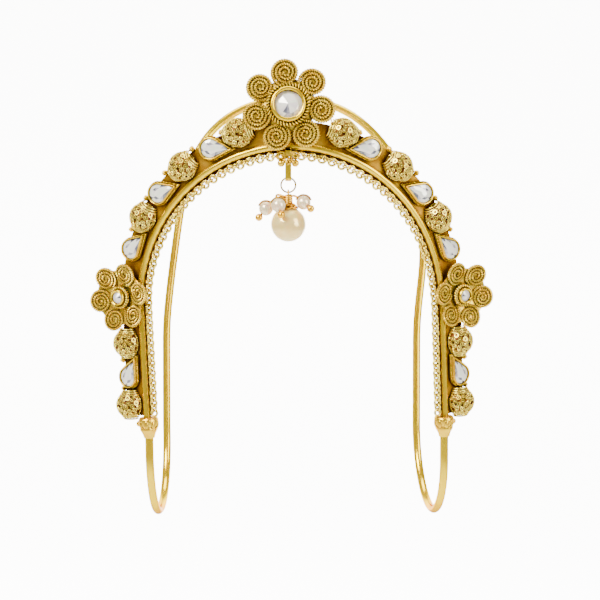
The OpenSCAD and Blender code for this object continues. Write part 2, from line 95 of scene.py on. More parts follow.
def archTable(side):
    half, foot = side * arch["width"] / 2, arch["legLength"] + arch["footExtra"]
    angles = np.radians(np.arange(0, 91, arch["degreeStep"]))
    line = [(half * sin(a), arch["rise"] * cos(a)) for a in angles]
    line += [(half, -foot * k / arch["legSteps"]) for k in range(1, arch["legSteps"] + 1)]
    flat = np.array([(planRadius * asin((x + legSet(z)) / planRadius), z) for x, z in line])
    return runAlong(flat), flat[:, 0], flat[:, 1]


archLines = {side: archTable(side) for side in (-1, 1)}
halfLength = {side: float(np.interp(arch["legLength"], -v, run))
        for side, (run, u, v) in archLines.items()}


def flatPoint(side, s):
    run, u, v = archLines[side]
    return float(np.interp(s, run, u)), float(np.interp(s, run, v))


def bandTurn(side, s):
    (u0, v0), (u1, v1) = flatPoint(side, max(0, s - turnReach)), flatPoint(side, s + turnReach)
    return atan2(side * (v1 - v0), side * (u1 - u0))


def bandFlat(side, s, off):  # on the unrolled cylinder, off the rim's line
    turn = bandTurn(side, s)
    u, v = flatPoint(side, s)
    return u - off * sin(turn), v + off * cos(turn)


def roundPlan(u, v, proud):
    a, r = u / planRadius, planRadius + proud
    return Vector((r * sin(a), planCentre - r * cos(a), v))


def bandPoint(side, s, off, proud=0.0):
    return roundPlan(*bandFlat(side, s, off), proud)


def onCylinder(u, v, turn):
    return (move(0, planCentre, 0) @ turnZ(u / planRadius) @ move(0, -planRadius, v)
            @ turnX(pi / 2) @ turnZ(turn))


def bandPlace(side, share, off):  # x runs down the band, y outwards, z off its face
    s = share * halfLength[side]
    return onCylinder(*bandFlat(side, s, off), bandTurn(side, s)) @ stretch(side, 1, 1)


def bandLine(off, step, share=1.0):  # from left foot to right foot, unrolled
    line = []
    for side in (-1, 1):
        length = share * halfLength[side]
        count = ceil(length / step)
        half = [bandFlat(side, length * k / count, off) for k in range(count + 1)]
        line += half[::-1] if side < 0 else half[1:]
    return line


def wholeBand(off, proud=0.0, step=1.2, share=1.0):
    return [roundPlan(u, v, proud) for u, v in bandLine(off, step, share)]


# Making shapes

def keepMesh(bm, smooth=True):
    bmesh.ops.recalc_face_normals(bm, faces=bm.faces)
    for face in bm.faces:
        face.smooth = smooth
    mesh = bpy.data.meshes.new("shape")
    bm.to_mesh(mesh)
    bm.free()
    return mesh


def ball(radius, detail=3):
    bm = bmesh.new()
    bmesh.ops.create_icosphere(bm, subdivisions=detail, radius=radius)
    return keepMesh(bm)


def roundedBox(x, y, z, bevel):
    bm = bmesh.new()
    bmesh.ops.create_cube(bm, size=1, matrix=stretch(x, y, z))
    bmesh.ops.bevel(bm, geom=bm.edges, offset=bevel, segments=2, profile=0.5, affect="EDGES",
            material=-1)
    return keepMesh(bm)


def turned(profile, steps, closed=False):  # profile is a list of radius and height
    bm = bmesh.new()
    verts = [bm.verts.new((r, 0, z)) for r, z in profile]
    pairs = list(zip(verts, verts[1:])) + ([(verts[-1], verts[0])] if closed else [])
    edges = [bm.edges.new(pair) for pair in pairs]
    bmesh.ops.spin(bm, geom=verts + edges, cent=(0, 0, 0), axis=(0, 0, 1), dvec=(0, 0, 0),
            angle=fullTurn, steps=steps, use_merge=True)
    bmesh.ops.remove_doubles(bm, verts=bm.verts, dist=1e-4)
    return keepMesh(bm)


def pull(bm, made, way):  # moves what an extrusion has made
    verts = [part for part in made["geom"] if isinstance(part, bmesh.types.BMVert)]
    bmesh.ops.translate(bm, verts=verts, vec=way)


def puck(radius, low, high, steps):
    return turned([(0, low), (radius, low), (radius, high), (0, high)], steps)


def circle(radius, count, z=0.0, shift=0.0):  # a loop, or the section of a round wire
    return [(radius * cos(fullTurn * (k + shift) / count),
            radius * sin(fullTurn * (k + shift) / count), z) for k in range(count)]


def ring(major, minor, steps, corners):
    return turned([(major + x, z) for x, z, _ in circle(minor, corners)], steps, closed=True)


def ropeWire(radius, corners, waist=0.56):  # section of two strands side by side
    section = []
    for x, y, _ in circle(radius, corners):
        slim = waist + (1 - waist) * abs(x) / radius
        section.append((slim * x, slim * y, 0))
    return section


def outlineCurve(points, closed):
    curve = bpy.data.curves.new("outline", "CURVE")
    curve.dimensions = "3D"
    spline = curve.splines.new("POLY")
    spline.points.add(len(points) - 1)
    for point, place in zip(spline.points, points):
        point.co = (*place, 1)
    spline.use_cyclic_u = closed
    return curve


def sweep(points, profile, closed=False, twist=0.0):  # twist is in turns for each millimetre
    section = bpy.data.objects.new("section", outlineCurve(profile, True))
    curve = outlineCurve(points, closed)
    curve.twist_mode = "MINIMUM"
    curve.bevel_mode = "OBJECT"
    curve.bevel_object = section
    curve.use_fill_caps = not closed
    places = [Vector(p) for p in points]
    whole = sum((b - a).length for a, b in zip(places, places[1:] + places[:1]))
    if closed and twist:  # a closed rope has a whole number of turns
        twist = round(twist * whole) / whole
    length = 0.0
    for k, point in enumerate(curve.splines[0].points):
        length += (places[k] - places[k - 1]).length if k else 0.0
        point.tilt = fullTurn * twist * length
    path = bpy.data.objects.new("path", curve)
    for thing in (section, path):
        bpy.context.scene.collection.objects.link(thing)
    bpy.context.view_layer.update()
    ready = path.evaluated_get(bpy.context.evaluated_depsgraph_get())
    mesh = bpy.data.meshes.new_from_object(ready)
    for thing in (path, section):
        data = thing.data
        bpy.data.objects.remove(thing)
        bpy.data.curves.remove(data)
    bm = bmesh.new()
    bm.from_mesh(mesh)
    bpy.data.meshes.remove(mesh)
    bmesh.ops.remove_doubles(bm, verts=bm.verts, dist=1e-5)
    return keepMesh(bm)


def coilPath(outer, wire, turns, step, start=0.45):  # start is the first turn's radius in wires
    first = wire * start
    last = (outer - wire - first / turns) / (2 - 1 / turns)  # half a pitch in each half turn
    length, path = turns * pi * (first + last), []
    for k in range(int(length / step) + 1):
        share = sqrt(k * step / length * (1 - (first / last) ** 2) + (first / last) ** 2)
        r = last * share
        a = fullTurn * turns * (r - first) / (last - first)
        path.append((r * cos(a), r * sin(a), 0))
    return path


def resample(loop, step):  # even steps round a closed line
    places = np.array([*loop, loop[0]])
    run = runAlong(places)
    spots = np.linspace(0, run[-1], int(run[-1] / step), endpoint=False)
    return list(zip(*(np.interp(spots, run, places[:, axis]) for axis in range(3))))


class Piece:  # gathers shapes into one piece of the object

    def __init__(self, name, slot, *materials, body="armlet", node=None):
        self.name, self.slot, self.materials, self.body = name, slot, materials, body
        self.node = node or name
        self.bm = bmesh.new()

    def add(self, mesh, place=Matrix.Identity(4)):
        copy = mesh.copy()
        copy.transform(place)
        if place.determinant() < 0:
            copy.flip_normals()
        self.bm.from_mesh(copy)
        bpy.data.meshes.remove(copy)
        return self

    def gathered(self):
        mesh = bpy.data.meshes.new(self.name)
        self.bm.to_mesh(mesh)
        self.bm.free()
        return mesh

    def finish(self, crease=50):
        mesh = self.gathered()
        mesh.transform(Matrix.Scale(metresPerMm, 4))
        for material in self.materials:
            mesh.materials.append(material)
        mesh.set_sharp_from_angle(angle=radians(crease))
        piece = bpy.data.objects.new(self.name, mesh)
        bpy.context.scene.collection.objects.link(piece)
        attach(piece, self.body)
        if self.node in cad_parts:  # as a rule the piece has its CAD node's name
            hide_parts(self.node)
        triangles = sum(len(face.vertices) - 2 for face in mesh.polygons)
        print(f"made {self.name}, {triangles} triangles")


# Materials

class Wire:  # one socket's value, with arithmetic

    def __init__(self, shader, socket):
        self.shader, self.socket = shader, socket

    def maths(self, operation, first, second):
        return self.shader.node("Math", {"operation": operation}, {0: first, 1: second})

    def __add__(self, other):
        return self.maths("ADD", self, other)

    def __sub__(self, other):
        return self.maths("SUBTRACT", self, other)

    def __rsub__(self, other):
        return self.maths("SUBTRACT", other, self)

    def __mul__(self, other):
        return self.maths("MULTIPLY", self, other)

    __radd__, __rmul__ = __add__, __mul__


class Shader:

    def __init__(self, name):
        self.material = bpy.data.materials.new(name)
        self.material.use_nodes = True
        self.tree = self.material.node_tree
        self.surface = self.tree.nodes["Principled BSDF"]
        self.coords = self.node("TexCoord", {}, {}, "Object")

    def node(self, kind, settings, sockets, output=0):
        made = self.tree.nodes.new("ShaderNode" + kind)
        for key, value in settings.items():
            setattr(made, key, value)
        self.fill(made, sockets)
        return Wire(self, made.outputs[output])

    def fill(self, node, sockets):
        for key, value in sockets.items():
            socket = node.inputs[key]
            if isinstance(value, Wire):
                self.tree.links.new(value.socket, socket)
            elif isinstance(value, tuple):  # a colour, which the socket has with its alpha
                socket.default_value = (*value, 1)
            else:
                socket.default_value = value

    def blend(self, factor, first, second):
        return self.node("Mix", {"data_type": "RGBA"}, {0: factor, 6: first, 7: second}, 2)

    def noise(self, scale, detail=2.0, roughness=0.5):
        return self.node("TexNoise", {}, {"Vector": self.coords, "Scale": scale,
                "Detail": detail, "Roughness": roughness})

    def ramp(self, value, low, high):
        return self.node("MapRange", {"clamp": True}, {0: value, 1: low, 2: high})

    def bump(self, height, strength, distance):
        return self.node("Bump", {}, {"Height": height, "Strength": strength,
                "Distance": distance * metresPerMm})

    def set(self, **sockets):
        self.fill(self.surface, {key.replace("_", " "): value for key, value in sockets.items()})
        return self.material


# Gold: warmer in patches, with a fine grain, and dark in hollows and between parts from ambient
# occlusion, partly oxide and partly painted shade
# recess is the colour of hollows and joins: oxide together with painted shade
goldLook = {"gold": (0.95, 0.67, 0.03), "warmGold": (0.87, 0.5, 0.015), "edge": (0.6, 0.36, 0.04),
        "recess": (0.04, 0.009, 0.002), "reach": 1.3, "darkBelow": 0.42, "cleanAbove": 0.92,
        "patchScale": 420.0, "warmFrom": 0.35, "warmTo": 0.68, "patchBump": 0.5,
        "grainScale": 5200.0, "grainRough": 0.65, "grainBreakup": 0.25, "maskShift": 0.12,
        "roughness": 0.12, "roughSpread": 0.11, "recessRough": 0.3, "metallic": 0.85,
        "specular": 0.2, "bump": 0.3, "bumpDepth": 0.05}


def goldFinish(name, **changes):
    look, shader = {**goldLook, **changes}, Shader(name)
    # ambient occlusion finds hollows and joins between parts; darkening them toward the recess
    # colour paints shade there, along with the oxide antique gold keeps in its hollows
    openness = shader.node("AmbientOcclusion", {"samples": 6},
            {"Distance": look["reach"] * metresPerMm}, "AO")
    clean = shader.ramp(openness, look["darkBelow"], look["cleanAbove"])
    patches = shader.noise(look["patchScale"], 3.0)
    grain = shader.noise(look["grainScale"], 4.0, look["grainRough"])
    warm = shader.ramp(patches, look["warmFrom"], look["warmTo"])
    bareGoldShare = shader.ramp(clean + look["grainBreakup"] * grain - look["maskShift"], 0.0, 1.0)
    goldWithShadeAndOxide = shader.blend(bareGoldShare, look["recess"], shader.blend(warm, look["gold"], look["warmGold"]))
    rough = look["roughness"] + look["roughSpread"] * grain + look["recessRough"] * (1 - clean)
    height = grain + look["patchBump"] * patches
    return shader.set(Base_Color=goldWithShadeAndOxide, Metallic=look["metallic"], Roughness=rough,
            Specular_Tint=look["edge"], Specular_IOR_Level=look["specular"],
            Normal=shader.bump(height, look["bump"], look["bumpDepth"]))


antiqueGold = goldFinish("antique_gold")
ropeGold = goldFinish("rope_gold", reach=0.9, darkBelow=0.47, gold=(0.95, 0.7, 0.07),
        warmGold=(0.88, 0.55, 0.04))
laceGold = goldFinish("lace_gold", gold=(0.98, 0.82, 0.16), warmGold=(0.92, 0.68, 0.07),
        recess=(0.05, 0.015, 0.004), reach=0.6, darkBelow=0.3, cleanAbove=0.8, roughness=0.1)
# the plate's darker gold and wide reach paint the shade that falls between the ornaments on it
shadedPlateGold = goldFinish("shaded_plate_gold", gold=(0.76, 0.45, 0.03), warmGold=(0.52, 0.24, 0.012),
        darkBelow=0.56, cleanAbove=1.0, reach=2.6, roughness=0.26)
# near-black gold for parts that stand for shade: painted shade in the gap behind the rim, inside
# the domes and under their filigree
paintedShadeGold = goldFinish("painted_shade_gold", gold=(0.16, 0.06, 0.012), warmGold=(0.1, 0.03, 0.006),
        recess=(0.02, 0.005, 0.002), roughness=0.35)
wireGold = goldFinish("wire_gold", gold=(0.94, 0.68, 0.008), warmGold=(0.9, 0.6, 0.004),
        recess=(0.2, 0.07, 0.01), edge=(0.4, 0.2, 0.01), metallic=0.9, roughness=0.14,
        roughSpread=0.08, bump=0.08, patchScale=160.0)
amberGold = goldFinish("amber_gold", gold=(0.95, 0.56, 0.03), warmGold=(0.9, 0.46, 0.015),
        recess=(0.2, 0.05, 0.01), reach=0.8)
hoopGold = goldFinish("hoop_gold", gold=(0.34, 0.22, 0.02), warmGold=(0.25, 0.15, 0.012),
        metallic=0.6, roughness=0.3, edge=(0.2, 0.1, 0.01))


# Pearl: a body colour with a blush in clouds and faint bands
pearlLook = {"bandShare": 0.12, "blushFrom": 0.3, "blushTo": 0.8, "distortion": 6.0,
        "roughness": 0.2, "roughSpread": 0.08, "bump": 0.15, "bumpDepth": 0.06}


def pearlFinish(name, body, blush, bandScale, cloudScale):
    look, shader = pearlLook, Shader(name)
    bands = shader.node("TexWave", {"wave_type": "BANDS", "bands_direction": "Z"},
            {"Vector": shader.coords, "Scale": bandScale,
            "Distortion": look["distortion"], "Detail": 2.0})
    cloud = shader.noise(cloudScale, 3.0)
    tone = shader.ramp(cloud + look["bandShare"] * bands, look["blushFrom"], look["blushTo"])
    return shader.set(Base_Color=shader.blend(tone, body, blush), Metallic=0.4, Coat_Weight=0.7,
            Roughness=look["roughness"] + look["roughSpread"] * cloud,
            Coat_Roughness=0.06, Subsurface_Weight=0.25, Subsurface_Scale=0.0012,
            Specular_IOR_Level=0.65,
            Normal=shader.bump(cloud, look["bump"], look["bumpDepth"]))


champagnePearl = pearlFinish("champagne_pearl", (0.95, 0.67, 0.21), (1.0, 0.8, 0.35), 160.0, 380.0)
whitePearl = pearlFinish("white_pearl", (0.95, 0.71, 0.47), (0.98, 0.82, 0.6), 300.0, 700.0)


# Foiled crystal, with one painted reflection for each facet and faint streaks
crystalLook = {"streakFrom": 0.45, "streakTo": 0.8, "roughSpread": 0.05}


def crystalFinish(name, streakScale, shade, metallic, roughness):
    look, shader = crystalLook, Shader(name)
    reflection = shader.node("Attribute", {"attribute_name": "facetReflection"}, {}, "Color")
    streak = shader.noise(streakScale, 2.0)
    faint = shader.ramp(streak, look["streakFrom"], look["streakTo"])
    return shader.set(Base_Color=shader.blend(faint, reflection, shade), Metallic=metallic,
            Roughness=roughness + look["roughSpread"] * streak, Coat_Weight=1.0,
            Coat_Roughness=0.02, Specular_IOR_Level=0.8)


crystal = crystalFinish("crystal", 700.0, (0.8, 0.82, 0.9), 0.15, 0.06)
foil = crystalFinish("stone_foil", 1400.0, (0.5, 0.5, 0.58), 0.8, 0.14)


# Rim wire, base plate, granules and the wire that carries the chain lace
band = {"rimShare": 1.02, "plateShare": 0.995, "plateCells": (150, 5), "granule": 1.5,
        "granuleOut": 0.35, "granuleSink": 0.45, "grain": 0.5, "grainTurn": 9, "grainDrop": 0.6,
        "granuleShares": [0.16, 0.241, 0.333, 0.414, 0.503, 0.842, 0.921], "carrier": 0.48,
        "carrierOff": -1.2, "carrierBack": -0.5, "carrierShare": 0.99, "bead": 0.5,
        "smallBead": 0.36, "beadOff": -1.75, "beadProud": 0.1, "beadGap": 1.26, "beadShare": 0.985}


def makeBand():
    rim = sweep(wholeBand(0.0, share=band["rimShare"]), circle(rimRadius, 18))
    Piece("rim_wire", "polished_gold", wireGold, node="front_band").add(rim).finish()

    inner, outer = rimRadius / 2, arch["bandWidth"]
    long, across = band["plateCells"]
    bm = bmesh.new()
    bmesh.ops.create_grid(bm, x_segments=long, y_segments=across, size=1)
    for vert in bm.verts:
        side = -1 if vert.co.x < 0 else 1
        s = abs(vert.co.x) * band["plateShare"] * halfLength[side]
        off = inner + (outer - inner) * (vert.co.y + 1) / 2
        vert.co = bandPoint(side, s, off, plateFront)
    bmesh.ops.recalc_face_normals(bm, faces=bm.faces)
    if sum(face.normal.y for face in bm.faces) > 0:
        bmesh.ops.reverse_faces(bm, faces=bm.faces)
    bmesh.ops.solidify(bm, geom=bm.faces, thickness=arch["plate"])
    # the plate's darker gold is painted shade between the ornaments
    Piece("base_plate", "antique_gold", shadedPlateGold, node="front_band").add(keepMesh(bm)).finish()

    granules = Piece("edge_granules", "antique_gold", antiqueGold, node="front_band")
    grain, spread = ball(band["grain"]), band["granule"] / 2 - band["grain"]
    for side in (-1, 1):
        for share in band["granuleShares"]:
            place = (bandPlace(side, share, outer + band["granule"] * band["granuleOut"])
                    @ move(0, 0, plateFront + band["granule"] / 2 - band["granuleSink"]))
            for k in range(4):
                granules.add(grain, place @ turnZ(k * pi / 2 + share * band["grainTurn"])
                        @ move(spread, 0, -spread * band["grainDrop"]))
            granules.add(grain, place @ move(0, 0, spread))
    granules.finish()

    # the carrier is near-black: painted shade in the gap between the rim and the chain lace
    line = wholeBand(band["carrierOff"], band["carrierBack"], 1.0, band["carrierShare"])
    carrier = sweep(line, circle(band["carrier"], 10))
    Piece("lace_carrier", "bright_gold", paintedShadeGold).add(carrier).finish()

    beads = Piece("lace_beads", "bright_gold", laceGold)
    bead, smallBead = ball(band["bead"], 2), ball(band["smallBead"], 2)
    for side in (-1, 1):
        for k in range(int(halfLength[side] * band["beadShare"] / band["beadGap"])):
            spot = bandPoint(side, (k + 0.5) * band["beadGap"], band["beadOff"], band["beadProud"])
            beads.add(smallBead if k % 2 else bead, move(*spot))
    beads.finish()


# Chain lace: round links in turn face on and edge on
lace = {"link": 2.1, "wire": 0.36, "drawn": 0.88, "gap": 0.25, "clear": 0.12, "lineStep": 2.6}
laceOff = -(rimRadius + lace["gap"] + lace["link"] / 2)


def makeLace():
    line = np.array(bandLine(laceOff, lace["lineStep"]))
    run = runAlong(line)
    major = (lace["link"] - lace["wire"]) / 2
    pitch = 2 * major - lace["wire"] - lace["clear"]
    count = int((run[-1] - lace["link"] - 4 * play) / pitch) + 1
    start = (run[-1] - pitch * (count - 1)) / 2
    piece = Piece("chain_lace", "bright_gold", laceGold)
    link = ring(major, lace["wire"] * lace["drawn"], 24, 8)
    for i in range(count):
        (u0, v0), (u, v), (u1, v1) = ([np.interp(start + pitch * i + reach, run, axis)
                for axis in line.T] for reach in (-turnReach, 0, turnReach))
        turn = atan2(v1 - v0, u1 - u0)
        piece.add(link, onCylinder(u, v, turn) @ turnX(pi / 2 * (i % 2)))
    piece.finish()


# Back wire: out of one cap, round a hairpin bend, over behind the arm and back
spring = {"wire": 2.1, "bendLength": 5.2, "backWidth": 68.0, "backRise": 49.8, "lean": 6.0,
        "wave": 2.2, "waveLow": -15.0, "waveHigh": 45.0, "roundness": 2.35, "capOff": -0.35,
        "bendSteps": 45, "riseSteps": 20, "topDegrees": 2}
bendZ = -(arch["legLength"] + arch["capLength"] + spring["bendLength"])


def backPoint(side, x, z, wavy=True):
    bend, half = arch["hairpin"] / 2, spring["backWidth"] / 2
    share = clamp01((z - spring["waveLow"]) / (spring["waveHigh"] - spring["waveLow"]))
    sway = spring["wave"] * sin(pi * share) ** 2 if wavy else 0.0
    y = bend + sqrt(planRadius ** 2 - x ** 2) - sqrt(planRadius ** 2 - half ** 2)
    return Vector((side * x + sway, y + tan(radians(spring["lean"])) * (z - bendZ), z))


def backSide(side):
    bend, half = arch["hairpin"] / 2, spring["backWidth"] / 2
    capEnd = halfLength[side] + arch["capLength"]
    path = [bandPoint(side, capEnd - arch["capLength"] / 2, spring["capOff"]),
            bandPoint(side, capEnd, spring["capOff"])]
    front = bandPoint(side, capEnd + spring["bendLength"] / 2, spring["capOff"])
    for k in range(spring["bendSteps"] + 1):  # it eases from the front leg to the back one
        a = pi * k / spring["bendSteps"]
        w = (a / pi) ** 2 * (3 - 2 * a / pi)
        path.append(Vector((front.x * (1 - w) + side * half * w + arch["sway"] * sin(a) / 4,
                (front.y + bend) / 2 - (bend - front.y) / 2 * cos(a),
                bendZ - bend * sin(a))))
    path += [backPoint(side, half, bendZ * (1 - k / spring["riseSteps"]))
            for k in range(1, spring["riseSteps"] + 1)]
    for degrees in range(90 - spring["topDegrees"], 0, -spring["topDegrees"]):
        a, power = radians(degrees), 2 / spring["roundness"]
        path.append(backPoint(side, half * sin(a) ** power,
                spring["backRise"] * cos(a) ** power))
    return path


def makeBackWire():
    path = backSide(-1) + [backPoint(1, 0, spring["backRise"], False)] + backSide(1)[::-1]
    wire = sweep(path, circle(spring["wire"] / 2, 18))
    Piece("back_wire", "polished_gold", wireGold).add(wire).finish()


# Caps: fluted ferrules over the joint of rim and wire. Pairs are shares of length and radius
cap = {"radius": 2.5, "flutes": 8, "flute": 0.16, "granule": 1.5, "granuleAt": 0.35,
        "leaf": (1.05, 0.575, 0.35), "leafAt": (0.3, 0.9), "lump": 0.36, "lumpAt": (0.1, 0.86),
        "collarAt": (0.48, 0.8), "collarRope": 0.3, "collarTwist": 0.95, "profile": [(0.0, 0.4),
        (0.0, 0.86), (0.03, 0.94), (0.1, 0.99), (0.22, 1.0), (0.34, 0.97), (0.42, 0.9),
        (0.46, 0.83), (0.5, 0.88), (0.56, 0.9), (0.63, 0.86), (0.7, 0.77), (0.8, 0.66), (0.9, 0.59),
        (0.97, 0.56), (1.0, 0.52), (1.0, 0.44)]}


def makeCaps():
    radius, length = cap["radius"], arch["capLength"]
    leaf, lump = ball(1), ball(cap["lump"], 2)
    leaf.transform(stretch(*cap["leaf"]))
    collarZ, collarShare = cap["collarAt"]
    collar = sweep(circle(radius * collarShare, 96, length * collarZ),
            ropeWire(cap["collarRope"], 8), closed=True, twist=cap["collarTwist"])
    for word, side in leftRight.items():
        piece = Piece(f"cap_{word}", "antique_gold", antiqueGold)
        body = turned([(radius * r, length * z) for z, r in cap["profile"]], 64)
        for vert in body.vertices:  # flutes fade out towards the ends
            x, y, z = vert.co
            depth = (cap["flute"] * sin(pi * clamp01(z / length))
                    * abs(sin(cap["flutes"] / 2 * atan2(y, x))))
            vert.co = (x * (1 - depth / radius), y * (1 - depth / radius), z)
        place = bandPlace(side, 1, spring["capOff"])
        piece.add(body, place @ turnY(pi / 2))
        piece.add(collar, place @ turnY(pi / 2))
        for k in range(cap["flutes"]):  # pointed leaves that lap over the neck
            for shape, shift, (z, r) in ((leaf, 0.5, cap["leafAt"]), (lump, 0, cap["lumpAt"])):
                piece.add(shape, place @ turnX(fullTurn * (k + shift) / cap["flutes"])
                        @ move(length * z, 0, radius * r))
        piece.add(ball(cap["granule"] / 2),
                place @ move(length * cap["granuleAt"], radius + cap["granule"] / 3, 0))
        piece.finish()


# Pierced domes keep their solids, and carry curled filigree wires and fine grains
dome = {"size": 6.9, "shares": [0.1218, 0.283, 0.455, 0.793, 0.965], "firstLift": 0.62,
        "rimGap": 0.15, "foot": 0.45, "footShare": 0.97, "footHeight": 0.7, "footRope": 0.3,
        "footTwist": 0.8, "rings": 44, "ringRadius": 0.48, "ringWire": 0.13, "grain": 0.2,
        "grainSink": 0.02, "reachDown": 0.06, "collarWire": 0.2, "collars": [(2.55, 2.6),
        (3.05, 2.3), (3.55, 1.95)], "backGap": 0.15, "back": (0.02, 0.25)}
domeRadius = dome["size"] / 2


def domePlaces(side):
    for k, share in enumerate(dome["shares"]):
        off = rimRadius + dome["rimGap"] + domeRadius + (dome["firstLift"] if k == 0 else 0)
        yield k, bandPlace(side, share, off) @ move(0, 0, plateTop)


def makeFiligree():
    loop, grain = ring(dome["ringRadius"], dome["ringWire"], 16, 6), ball(dome["grain"], 2)
    foot = sweep(circle(domeRadius * dome["footShare"], 110, dome["foot"] * dome["footHeight"]),
            ropeWire(dome["footRope"], 8), closed=True, twist=dome["footTwist"])
    collars = [(x, sweep([(0, r * cos(a), r * sin(a)) for a in np.linspace(0, pi, 25)],
            circle(dome["collarWire"], 8))) for x, r in dome["collars"]]
    # dark discs inside the domes: painted shade seen through the piercings
    back = puck(domeRadius - dome["backGap"], *dome["back"], 32)
    backs = Piece("dome_backs", "antique_gold", paintedShadeGold)
    for word, side in leftRight.items():
        piece = Piece(f"dome_filigree_{word}", "bright_gold", laceGold)
        for k, place in domePlaces(side):
            backs.add(back, place)
            piece.add(foot, place)
            for x, collar in collars:
                for end in (-x, x):
                    piece.add(collar, place @ move(end, 0, 0))
            for n in range(dome["rings"]):
                high = 1 - (1 - dome["reachDown"]) * (n + 0.5) / dome["rings"]
                spot = (place @ move(0, 0, dome["foot"]) @ turnZ(n * goldenAngle + k)
                        @ turnY(acos(high)) @ move(0, 0, domeRadius))
                piece.add(loop, spot)
                piece.add(grain, spot @ move(0, 0, -dome["grainSink"]))
        piece.finish()
    backs.finish()
    # the dome shells are near-black: painted shade under the filigree
    for name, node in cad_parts.items():
        if name.startswith("dome_"):
            node.data.materials.clear()
            node.data.materials.append(paintedShadeGold)


# Cut stones: a few painted reflections in turn over the facets, as light plays in them
paleReflections = [(0.98, 0.98, 1.0), (0.86, 0.95, 0.92), (0.97, 0.97, 0.98), (0.84, 0.8, 0.9)]
deepReflections = [(0.12, 0.13, 0.2), (0.98, 0.98, 1.0), (0.28, 0.28, 0.38), (0.9, 0.9, 0.95),
        (0.5, 0.46, 0.6)]
stoneCut = {"pavilion": 0.45, "girdle": 0.2, "backAbove": 0.01}


def cutStone(rings, girdleZ, fan=None):  # facets are the flat faces of a hull
    bm = bmesh.new()
    for loop in rings:
        for point in loop:
            bm.verts.new(point)
    bmesh.ops.convex_hull(bm, input=bm.verts)
    bmesh.ops.recalc_face_normals(bm, faces=bm.faces)
    layer = bm.loops.layers.float_color.new("facetReflection")
    around = sorted(bm.faces, key=lambda face: atan2(*face.calc_center_median().xy))
    for k, face in enumerate(around):
        middle = face.calc_center_median()
        face.material_index = 1 if middle.z < girdleZ + stoneCut["backAbove"] else 0
        reflections = paleReflections + deepReflections
        if fan is not None:  # deep painted reflections only in a fan at the low side
            reflections = paleReflections if middle.y > fan * middle.xy.length else deepReflections
        for corner in face.loops:
            corner[layer] = (*reflections[k % len(reflections)], 1)
    return keepMesh(bm, smooth=False)


def makeGem(name, shape, place):
    Piece(name, "clear_stone", crystal, foil).add(shape, place).finish(crease=1)


# Pear settings: a rounded bezel with a milled rope round it and a faceted stone
pear = {"width": 5.4, "length": 8.5, "height": 1.25, "wall": 0.35, "flange": 0.3, "gap": 0.35,
        "flangeHeight": 0.45, "shares": [0.198, 0.379, 0.546, 0.888], "rope": 0.27,
        "ropeTwist": 1.15, "crown": 0.65, "soft": 0.7, "rings": {"foot": (0.35, 12),
        "girdle": (1, 14), "step": (0.66, 9), "table": (0.3, 5)}}
pearRadius = pear["width"] / 2
pearHalf = asin(pearRadius / (pear["length"] - pearRadius))


def pearLoop(radius, z, arcPoints=30, flankPoints=7):
    low, tip = pi / 2 + pearHalf, -radius / sin(pearHalf)
    arc = [(radius * cos(a), radius * sin(a), z) for a in np.linspace(-low, low, arcPoints)]
    first, last, point = Vector(arc[0]), Vector(arc[-1]), Vector((tip, 0, z))
    flanks = [last.lerp(point, k / flankPoints) for k in range(1, flankPoints)] + [point]
    flanks += [point.lerp(first, k / flankPoints) for k in range(1, flankPoints)]
    return arc + [tuple(p) for p in flanks]


def pearRing(radius, z, shape, shift=0.0):
    share, points = pear["rings"][shape]
    loop = pearLoop(radius * share, z, 60, 14)
    return [loop[int((k + shift) * len(loop) / points) % len(loop)] for k in range(points)]


def pearStone():
    radius = pearRadius - pear["wall"] - play
    base = pear["flangeHeight"] + play
    girdle = base + stoneCut["pavilion"]
    return cutStone([pearRing(radius, base, "foot"), pearRing(radius, girdle, "girdle"),
            pearRing(radius, girdle + stoneCut["girdle"], "girdle"),
            pearRing(radius, girdle + pear["crown"] * 0.7, "step", 0.5),
            pearRing(radius, girdle + pear["crown"], "table")], girdle)


def pearSetting():
    lip, soft = pear["wall"] / 2, pear["soft"]
    top = pear["height"] + pear["flangeHeight"]
    right = [(lip, 0.0), (lip, top - lip), (lip * soft, top - (1 - soft) * lip)]
    section = right + [(0.0, top)] + [(-x, z) for x, z in right[::-1]]
    wall = sweep(pearLoop(pearRadius - lip, 0.0), [(x, z, 0) for x, z in section], closed=True)
    ropeLine = pearLoop(pearRadius + pear["rope"] * 0.5, pear["flangeHeight"] + pear["rope"] * 0.6)
    rope = sweep(resample(ropeLine, ropeStep), ropeWire(pear["rope"], 8), closed=True,
            twist=pear["ropeTwist"])
    bm = bmesh.new()
    floor = bm.faces.new([bm.verts.new(p) for p in pearLoop(pearRadius + pear["flange"], 0.0)])
    pull(bm, bmesh.ops.extrude_face_region(bm, geom=[floor]), (0, 0, pear["flangeHeight"]))
    return keepMesh(bm), wall, rope


def makePears():
    stone, shapes = pearStone(), pearSetting()
    off = rimRadius + pear["gap"] + pear["flange"] + pearRadius
    for word, side in leftRight.items():
        for k, share in enumerate(pear["shares"]):
            place = bandPlace(side, share, off) @ move(0, 0, plateTop) @ turnZ(pearHalf)
            name = f"pear_setting_{word}_{k + 1}"
            setting = Piece(name, "antique_gold", antiqueGold)
            for shape in shapes:
                setting.add(shape, place)
            setting.finish()
            makeGem(f"pear_stone_{word}_{k + 1}", stone, place)


